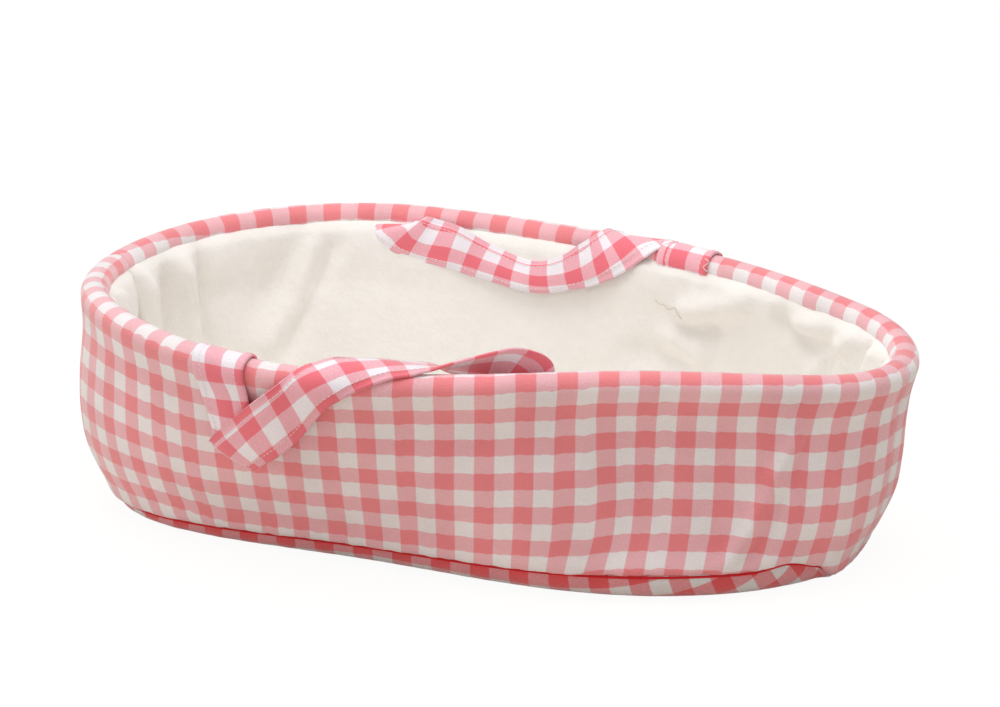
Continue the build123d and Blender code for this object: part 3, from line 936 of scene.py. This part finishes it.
# ---- handles ----
# Stations of a strap, from its head-side sewn end to its foot-side one. Each gives its two edges, each
# as a distance along the rim, outward and up from the middle of the roll, and then how far the
# middle of the strap bows out and up from the line between them.
NEAR_STRAP = (
    (160, -7, -7, 191, -7, -6, 0, 0), (160, -9, -2, 191, -9, -1, 0, 0), (160, -7.5, 3, 192, -8, 5, 0, 0),
    (161, -2, 7.3, 193, -2, 8.6, 0, 0), (163, 5.5, 5.6, 193, 6, 7, 0, 0), (165, 8, -2, 193, 9, 1, 0, 0),
    (167, 6, -12, 194, 7, -8, 1, 0), (169, 4, -22, 195, 5, -19, 2, 0), (170.5, 2, -33, 196, 1, -33, 3, 0),
    (170, 1, -39.5, 193, -3, -48, 2, 0), (169.5, 2, -40.5, 191, -4, -52, 2, 0),
    (170, 4, -39, 192, -2, -52, 2, 0), (184, 7, -25, 199, 0, -47, 2, 0), (195, 9, -14, 207, 2, -41, 2, 1),
    (209, 11, -1, 220, 4, -28, 2, 2), (219, 7, 8, 234, 10, -10, 4, 3), (226, 0, 10, 243, 11, -3, 4, 4),
    (237, -8, 11, 252, 9, 2, 2, 4), (251, -14, 9, 265, 6, 7, 0, 3), (265, -20, 6.5, 276, 3, 8.5, 0, 2),
    (280, -23, 5, 285, 0, 10, 0, 0), (290, -24, 1, 295, -3, 12.5, 0, 0), (299, -22, -3, 305, -4, 15, -2, 1),
    (308, -19, -7, 314, -5, 17, -2, 2), (315, -15, -9, 326, -5, 19, -2, 2),
    (317, -12, -10, 336, -6, 16, -2, 1), (317, -11, -12, 342, -7, 12, -2, 0),
    (316, -11, -15, 344.5, -8, 7, -1, 0), (316, -10, -17, 345, -9.5, -6, 0, 0),
)
FAR_STRAP = (
    (880, -6, -5, 914, -6, -4, 0, 0), (880, -9, -1, 916, -9, -3, 0, 0), (880, -10, 2, 916, -12, -7, -2, 0),
    (879, -11, 4, 909, -15, -12, -3, 1), (877, -11, 5, 898, -17, -16, -3, 1),
    (871, -11, 4, 883, -18, -19, -2, 0), (858, -12, 2, 864, -19, -21, -2, 0),
    (843, -13, -4, 850, -20, -23, -2, 0), (829, -14, -8, 834, -21, -25, -2, 0),
    (816, -15, -11, 815, -22, -27, -2, 0), (804, -15, -10, 800, -22, -26, -2, 0),
    (793, -14, -5, 786, -21, -22, -2, 0), (784, -12, 2, 775, -20, -19, -2, 1),
    (777, -9, 7, 764, -18.5, -14, -2, 2), (774.5, -3, 8.6, 753, -15, -7, -2, 3),
    (772, 4, 8, 744, -11, 1, -1, 3), (766, 9.5, 2, 738, -7, 6, 0, 3.5), (757, 11, -6, 730, 1, 9.2, 2, 2.5),
    (747, 11, -16, 721, 9.5, 3.5, 2, 0), (741, 10, -26, 712, 11, -8, 2, 0),
    (740, 9, -29, 706, 10, -14, 1, 0), (739, 9, -26, 706, 9, -12, 1, 0), (738, 9, -12, 706, 9, -6, 1, 0),
    (737, 7, 5, 705, 7, 5, 0, 0), (737, 0, 8.6, 705, 0, 8.4, 0, 0), (737, -6, 5.6, 705, -6, 5.6, 0, 0),
    (737, -8.6, 0, 705, -8.6, 0, 0, 0), (737, -6.5, -5, 705, -6.5, -5, 0, 0),
)

# Across a strap: the cloth's own rows under each width, from one edge to the other, first on the leg
# before its first fold and then after it. The sewn-down edges show the row that their fold brings
# up, so the rows jump at the hems.
NEAR_ROWS = ((0.0, 4.5, 4.0, 15.5), (4.5, 6.5, 8.0, 8.0), (6.5, 25.5, 10.0, 10.0), (25.5, 30.0, 30.5, 30.5))
FAR_ROWS = ((0.0, 3.6, 5.0, 5.0), (3.6, 5.0, 18.0, 18.0), (5.0, 25.5, 20.0, 10.0), (25.5, 30.0, 41.0, 31.0))
WIDE_ROW = 10.0                   # a row wider than this is dragged with the strap's middle
# Along a strap: how far its columns and its two wide rows are dragged.
NEAR_DRAG = (
    (0, -1, 0), (22, 2, -0.5), (30, -0.2, -1.5), (38, 1.2, -2), (46, 2, -4), (54, 2.5, -4), (70, 3, -2),
    (84, 6, 0.5), (94, 7.5, 1.8), (103, 8.5, 2.5), (115, 5.5, 2.5), (130, 3, 2.3), (145, 1.5, 0.2),
    (160, -1, -2.5), (174, -1, -3.3), (190, -1.7, -4), (200, -1, -3.5), (206, -1.5, -1.8), (217, -5, 0),
    (240, -4.5, -2.5), (275, -8, -3), (290, -6.5, -3),
)
FAR_DRAG = (
    (0, -7.5, 3), (14, -7.5, 3), (22, -6.5, -1.5), (30, -3.5, -2), (38, -5, -1), (45, -6, 0), (60, -5.5, 2),
    (90, -5.2, 2.8), (108, -7, 1.5), (128, -8.3, -1.2), (134, -7, -0.9), (142, -5, 0.5), (150, 1, 0.9),
    (158, 1.1, 1.9), (166, 0.2, 2.1), (180, 0, 1), (200, 1.5, 0.5), (213, 3, 0), (215, 16.3, -2),
)
NEAR_FOLD, FAR_FOLD = 84.0, 214.0                # how far along each strap its first fold lies
FAR_FOLD_ROW = 134                               # the row of points at the far strap's fold

# Of each hinge: a point, the level way in which its handle hangs, how far each way counts as beyond
# it (that way, up, and along the hinge), and where the strap beside it starts and ends to turn.
HINGES = {
    "near_handle": ((-0.1157, -0.1268, 0.1215), (0.0761, -0.9971, 0.0), (0.8, -0.6, 0.0), (0.002, 0.014)),
    "far_handle": ((-0.0961, 0.1309, 0.1215), (-0.1430, -0.9897, 0.0), (1.0, 0.3, -0.08), (0.0072, 0.0124)),
}

# Loose ends: along the rim and down the fleece; then along the rim, out and up.
THREAD_END = 0.2                                 # their radius
BROWN_THREAD = ((737, 22), (734, 24), (731, 24), (729, 26), (726, 25), (723, 23), (721, 26), (719, 29))
WHITE_THREAD = ((706, -8.9, 8), (703, -9.2, 6.5), (705.5, -9.4, 4.2), (706.5, -9.4, 2.5), (703.5, -9.3, 0.5))


def strap_shape(stations, rows, fold, drag, seed):
    """Points, normals and cloth coordinates of a strap, and the widths at which its columns lie."""
    widths = []
    for start, end, _, _ in rows:
        widths += list(np.linspace(start, end, max(2, int((end - start) / 1.1) + 1))[:-1])
    widths = np.array(widths + [STRAP_WIDTH])
    share = widths[None, :, None] / STRAP_WIDTH
    run = through(stations, 10)
    edges = run[:, 0:3], run[:, 3:6]
    bowed = (edges[0] + edges[1]) / 2 + np.pad(run[:, 6:8], ((0, 0), (1, 0)))
    first, last, middle = [rim_point(*line.T)[:, None] for line in (*edges, bowed)]
    points = (first * (1 - share) * (1 - 2 * share) + middle * 4 * share * (1 - share)
              + last * share * (2 * share - 1))
    marks = run_lengths(points[:, len(widths) // 2])
    even = np.arange(0, marks[-1], 1.6)
    points = np.stack([[np.interp(even, marks, points[:, column, axis]) for axis in range(3)]
                       for column in range(len(widths))]).transpose(2, 0, 1)
    normal = normals_of(points)

    hem, inside = sizes().hem / MM, np.minimum(widths, STRAP_WIDTH - widths)
    relief = (0.35 * (1 - smooth(hem - 0.3, hem + 0.3, inside)) - 0.45 * (1 - smooth(0.0, 0.8, inside))
              - 0.3 * hump(inside, hem, 0.6))
    along = np.repeat(even[:, None], len(widths), 1)
    across = np.repeat(widths[None], len(even), 0)
    relief = relief + 0.45 * ripple(along, across, 16.0, seed) + 0.15 * ripple(along, across, 6.0, seed + 1)

    pull, shift = read_table(drag, even)
    past = (even > fold)[:, None]
    before, after = np.zeros_like(across), np.zeros_like(across)
    for start, end, first_row, second_row in rows:
        row = np.where(past, second_row, first_row) + across - start
        row = row + (shift if end - start > WIDE_ROW else 0)
        before = np.where((across > start) & (across <= end), row, before)
        after = np.where((across >= start) & (across < end), row, after)
    uv = np.stack([np.stack([along + pull, row], -1) for row in (before, after)], 2)
    return points + normal * relief[..., None], normal, uv, widths


def topstitches(name, runs):
    """Rows of short stitches along lines, one after another on each line."""
    size = sizes()
    lengths = {"Pitch": size.pitch, "Length": size.stitch, "Radius": size.thread / 2}
    ends = np.cumsum([len(run) for run in runs])
    links = [(i, i + 1) for i in range(ends[-1] - 1) if i + 1 not in ends]
    lines = add_piece(name, np.concatenate(runs), edges=links)
    tree = bpy.data.node_groups.new(name + "_rows", "GeometryNodeTree")
    for way in ("INPUT", "OUTPUT"):
        tree.interface.new_socket(name="Geometry", in_out=way, socket_type="NodeSocketGeometry")
    rows = lines.modifiers.new("stitches", "NODES")
    sockets = {label: tree.interface.new_socket(name=label, in_out="INPUT", socket_type="NodeSocketFloat")
               for label in lengths}
    given = add(tree, "NodeGroupInput").outputs
    curve = add(tree, "GeometryNodeMeshToCurve", {0: given["Geometry"]})
    spaced = add(tree, "GeometryNodeResampleCurve", {0: curve, "Length": given["Pitch"]}, mode="LENGTH")
    turn = add(tree, "FunctionNodeAlignRotationToVector", {"Vector": add(tree, "GeometryNodeInputTangent")},
               axis="X")
    bead = add(tree, "GeometryNodeMeshIcoSphere", {"Radius": 1.0, "Subdivisions": 2})
    half = add(tree, MATH, {0: given["Length"], 1: 0.5}, operation="MULTIPLY")
    scale = add(tree, "ShaderNodeCombineXYZ", {0: half, 1: given["Radius"], 2: given["Radius"]})
    placed = add(tree, "GeometryNodeInstanceOnPoints",
                 {"Points": spaced, "Instance": bead, "Rotation": turn, "Scale": scale})
    real = add(tree, "GeometryNodeRealizeInstances", {0: placed})
    smoothed = add(tree, "GeometryNodeSetShadeSmooth", {0: real})
    sewn = add(tree, "GeometryNodeSetMaterial", {0: smoothed, "Material": thread_fibre()})
    add(tree, "NodeGroupOutput", {0: sewn})
    rows.node_group = tree
    for label, length in lengths.items():
        rows[sockets[label].identifier] = length
    return settle(lines)


def sew_strap(name, stitch_name, shape, part, sewn):
    """The part of a strap between two of its rows, and the topstitching of both hems on both its faces,
    which leaves off where the strap is sewn down."""
    points, normal, uv, widths = shape
    points, normal = points[part], normal[part]
    piece = thicken(grid(name, points, uv[part]), sizes().strap, 0.0)
    hem, lift = sizes().hem / MM, sizes().strap / MM / 2 + 0.05
    runs = []
    for width in (hem + 0.3, STRAP_WIDTH - hem - 0.3):
        column = int(np.argmin(np.abs(widths - width)))
        line, face = points[sewn, column], normal[sewn, column]
        runs += [line + face * lift, line - face * lift]
    return piece, topstitches(stitch_name, runs)


def bend_over(piece, handle):
    """Bakes a strap's placing into its points; the hinge is read but the strap does not turn with its handle.
    """
    origin, hanging, lean, reach = HINGES[handle]
    origin, hanging = Vector(origin), Vector(hanging)
    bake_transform(piece)


class CARRYCOT_OT_loose_threads(bpy.types.Operator):
    """Leave a brown thread end on the fleece and a white one at the far handle's seam"""
    bl_idname = "carrycot.loose_threads"
    bl_label = "Loose Threads"

    def execute(self, context):
        around, depths = np.array(BROWN_THREAD, float).T
        face, down = lining_section(around)
        brown = np.stack([[np.interp(depth, down[i], face[i, :, axis]) for axis in range(3)]
                          for i, depth in enumerate(depths)]) - rim.outward(around) * 2.2
        white = rim_point(*np.array(WHITE_THREAD, float).T)
        # Single cotton ends: matt, and no thicker than a few hairs.
        for name, points, colour in (("brown_thread_end", brown, "#DDD0BA"),
                                     ("white_thread_end", white, "#F8F2EA")):
            fit(thread(name, points, THREAD_END), fibre(name, linear(colour), 2400.0, 0.05))
        return {"FINISHED"}


class CARRYCOT_OT_near_handle(bpy.types.Operator):
    """Fold the near handle: down outside, back up over the rim, half turned, and down inside"""
    bl_idname = "carrycot.near_handle"
    bl_label = "Near Handle"

    def execute(self, context):
        shape = strap_shape(NEAR_STRAP, NEAR_ROWS, NEAR_FOLD, NEAR_DRAG, 61)
        piece, stitches = sew_strap("near_strap", "near_strap_stitches", shape, slice(None), slice(6, -14))
        nodes = ["near_handle_strap", "near_handle_head_end", "near_handle_foot_end"]
        fit(piece, strap_cloth(), nodes, None)
        for part in (piece, stitches):
            bend_over(part, "near_handle")
        return {"FINISHED"}


class CARRYCOT_OT_far_handle(bpy.types.Operator):
    """Hang the far handle inside the far wall, from the hem to a fold over the rim"""
    bl_idname = "carrycot.far_handle"
    bl_label = "Far Handle"

    def execute(self, context):
        shape = strap_shape(FAR_STRAP, FAR_ROWS, FAR_FOLD, FAR_DRAG, 71)
        piece, stitches = sew_strap("far_strap", "far_strap_stitches", shape, slice(None, FAR_FOLD_ROW + 1),
                                    slice(6, None))
        fit(piece, strap_cloth(), ["far_handle_strap", "far_handle_head_end"], None)
        for part in (piece, stitches):
            bend_over(part, "far_handle")
        band, stitches = sew_strap("far_strap_sewn_band", "far_strap_sewn_stitches", shape,
                                   slice(FAR_FOLD_ROW, None), slice(0, -4))
        fit(band, strap_cloth(), ["far_handle_foot_end"])
        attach(stitches, "root")
        return {"FINISHED"}


# ---- stage ----
AIM = (-0.003, 0.0, 0.0881)


def area_light(name, place, size, power):
    data = bpy.data.lights.new(name, "AREA")
    data.size, data.energy = size, power
    lamp = bpy.data.objects.new(name, data)
    lamp.location = place
    lamp.rotation_euler = (Vector(place) - Vector((0, 0, 0.05))).to_track_quat("Z", "Y").to_euler()
    bpy.context.scene.collection.objects.link(lamp)


def camera():
    setting = bpy.context.scene.carrycot_stage
    data = bpy.data.cameras.new("camera")
    data.lens, data.sensor_width = setting.lens, 36.0
    view = bpy.data.objects.new("camera", data)
    turn, tilt = setting.azimuth, setting.elevation
    back = Vector((sin(turn) * cos(tilt), -cos(turn) * cos(tilt), sin(tilt)))
    view.location = Vector(AIM) + back * setting.distance
    view.rotation_euler = back.to_track_quat("Z", "Y").to_euler()
    bpy.context.scene.collection.objects.link(view)
    bpy.context.scene.camera = view


def seen_directly(tree):
    """1 where a surface is looked at, straight or in a mirror, and 0 where it only throws light."""
    rays = add(tree, "ShaderNodeLightPath").outputs
    seen = rays["Is Camera Ray"]
    for kind in ("Is Glossy Ray", "Is Transmission Ray"):
        seen = add(tree, MATH, {0: seen, 1: rays[kind]}, operation="MAXIMUM")
    return seen


class CARRYCOT_OT_stage(bpy.types.Operator):
    """Set a white floor, soft studio light and the camera"""
    bl_idname = "carrycot.stage"
    bl_label = "Stage"

    def execute(self, context):
        corners = np.array([(-6.0, -6.0, 0.0), (6.0, -6.0, 0.0), (6.0, 6.0, 0.0), (-6.0, 6.0, 0.0)])
        floor = add_piece("floor", corners / MM, faces=[(0, 1, 2, 3)])
        # Matt studio paper: to the eye an even white that still takes a soft shadow.
        material, tree = new_material("white_paper")
        share = add(tree, MATH, {0: seen_directly(tree), 1: 0.88}, operation="MULTIPLY")
        paper = add(tree, "ShaderNodeBsdfDiffuse", {"Color": (*linear("#DED6C9"), 1.0)})
        glow = add(tree, "ShaderNodeEmission", {"Color": (*linear("#FFFFFF"), 1.0), "Strength": 1.07})
        mixed = add(tree, "ShaderNodeMixShader", {0: share, 1: paper, 2: glow})
        add(tree, "ShaderNodeOutputMaterial", {0: mixed})
        fit(floor, material, body=None)

        world = bpy.data.worlds.new("studio")
        world.use_nodes = True
        tree = world.node_tree
        tree.nodes.clear()
        light = (*linear("#FFFFFF"), 1.0)
        soft, white = [add(tree, "ShaderNodeBackground", {"Color": light, "Strength": power})
                       for power in (0.52, 1.0)]
        mixed = add(tree, "ShaderNodeMixShader", {0: seen_directly(tree), 1: soft, 2: white})
        add(tree, "ShaderNodeOutputWorld", {0: mixed})
        context.scene.world = world
        area_light("key", (-0.1, 0.0, 1.9), 1.3, 20.5)
        area_light("side", (-1.5, -0.7, 0.7), 0.9, 4.6)
        camera()
        context.scene.view_settings.view_transform = "Standard"
        return {"FINISHED"}


# ---- panel and run ----
class CARRYCOT_PT_panel(bpy.types.Panel):
    bl_label = "Carrycot"
    bl_idname = "CARRYCOT_PT_panel"
    bl_space_type = "VIEW_3D"
    bl_region_type = "UI"
    bl_category = "Carrycot"

    def draw(self, context):
        for setting in SETTINGS:
            box, group = self.layout.box(), getattr(context.scene, setting)
            for name in group.bl_rna.properties.keys():
                if name not in ("rna_type", "name"):
                    box.prop(group, name)
        for operator in OPERATORS:
            self.layout.operator(operator.bl_idname)


SETTINGS = {"carrycot_sizes": CarrycotSizes, "carrycot_colours": CarrycotColours,
            "carrycot_stage": CarrycotStage}
OPERATORS = (CARRYCOT_OT_walls, CARRYCOT_OT_fillings, CARRYCOT_OT_base, CARRYCOT_OT_lining,
             CARRYCOT_OT_loose_threads, CARRYCOT_OT_near_handle, CARRYCOT_OT_far_handle, CARRYCOT_OT_stage)
CLASSES = (*SETTINGS.values(), *OPERATORS, CARRYCOT_PT_panel)


def register():
    for each in CLASSES:
        bpy.utils.register_class(each)
    for name, group in SETTINGS.items():
        setattr(bpy.types.Scene, name, PointerProperty(type=group))


def unregister():
    for name in SETTINGS:
        delattr(bpy.types.Scene, name)
    for each in reversed(CLASSES):
        bpy.utils.unregister_class(each)


def main():
    register()
    bpy.ops.carrycot.walls()
    bpy.ops.carrycot.fillings()
    bpy.ops.carrycot.base()
    bpy.ops.carrycot.lining()
    bpy.ops.carrycot.loose_threads()
    bpy.ops.carrycot.near_handle()
    bpy.ops.carrycot.far_handle()
    bpy.ops.carrycot.stage()


if __name__ == "__main__":
    main()
